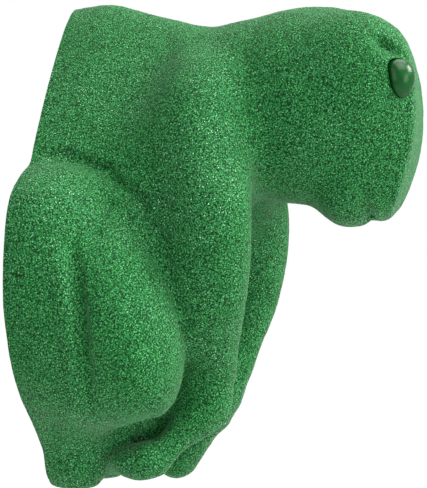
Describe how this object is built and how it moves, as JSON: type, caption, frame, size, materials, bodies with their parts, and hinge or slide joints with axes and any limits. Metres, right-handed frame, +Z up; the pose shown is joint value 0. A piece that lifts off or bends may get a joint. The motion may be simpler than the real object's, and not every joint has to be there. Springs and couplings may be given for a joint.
{
  "type": "climbing hold",
  "caption": "Climbing hold shaped as a crouching frog with a flat back, fixed by a recessed socket bolt on a washer and by countersunk screws in cup washers.",
  "frame": {"origin": "on the wall plane, at the axis of the mounting bolt", "axes": "+Y points from the hold into the wall, +Z is up, +X is the frog's own left"},
  "size_m": [0.1104, 0.127, 0.153],
  "materials": {
    "grained_casting": "green polyurethane with an open sandy grain all over",
    "glossy_bead": "smooth, glossy dark green",
    "black_steel": "black oxide",
    "zinc_steel": "bright zinc plate",
    "screw_steel": "passivated zinc plate with a slight yellow cast"
  },
  "bodies": {
    "hold": {"hold_body": "grained_casting", "left_eye": "glossy_bead", "right_eye": "glossy_bead"},
    "bolt_carriage": {"bolt_washer": "zinc_steel"},
    "bolt": {"mounting_bolt": "black_steel"},
    "upper_screw_carriage": {"upper_cup_washer": "zinc_steel"},
    "upper_screw": {"upper_screw": "screw_steel"},
    "lower_screw_carriage": {"lower_cup_washer": "zinc_steel"},
    "lower_screw": {"lower_screw": "screw_steel"}
  },
  "joints": [
    {"name": "bolt_slide", "type": "slide", "parent": "hold", "child": "bolt_carriage", "axis": [0, -1, 0], "range_m": [0, 0.08]},
    {"name": "bolt_turn", "type": "hinge", "parent": "bolt_carriage", "child": "bolt", "pos_m": [0, 0, 0], "axis": [0, 1, 0], "continuous": true},
    {"name": "upper_screw_slide", "type": "slide", "parent": "hold", "child": "upper_screw_carriage", "axis": [0, -1, 0], "range_m": [0, 0.08]},
    {"name": "upper_screw_turn", "type": "hinge", "parent": "upper_screw_carriage", "child": "upper_screw", "pos_m": [0, 0, 0.0165], "axis": [0, 1, 0], "continuous": true},
    {"name": "lower_screw_slide", "type": "slide", "parent": "hold", "child": "lower_screw_carriage", "axis": [0, -1, 0], "range_m": [0, 0.08]},
    {"name": "lower_screw_turn", "type": "hinge", "parent": "lower_screw_carriage", "child": "lower_screw", "pos_m": [0, 0, -0.0165], "axis": [0, 1, 0], "continuous": true}
  ]
}
